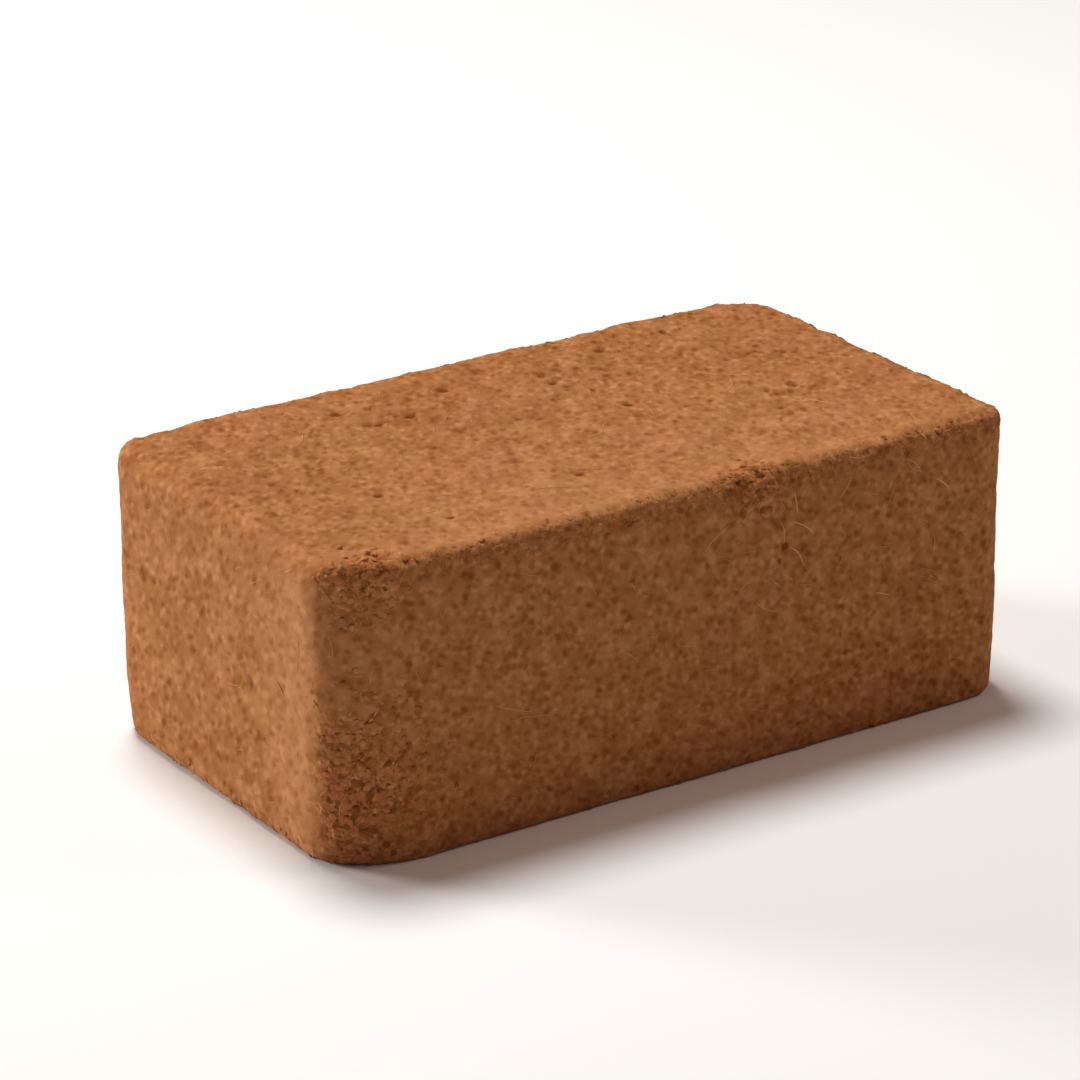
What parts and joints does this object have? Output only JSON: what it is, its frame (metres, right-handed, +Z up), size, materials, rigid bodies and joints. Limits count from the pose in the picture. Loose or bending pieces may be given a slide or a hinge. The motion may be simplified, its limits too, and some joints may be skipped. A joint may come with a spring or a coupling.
{
  "type": "coconut coir brick",
  "caption": "Block of pressed coconut coir with rounded upright edges, a soft top rim and a flat underside to rest on.",
  "frame": {"origin": "middle of the flat underside", "axes": "+X along the brick's length, +Y across its width, +Z up"},
  "size_m": [0.2022, 0.112, 0.0784],
  "materials": {
    "coir": "matte"
  },
  "bodies": {
    "root": {"coir_block": "coir"}
  },
  "joints": []
}
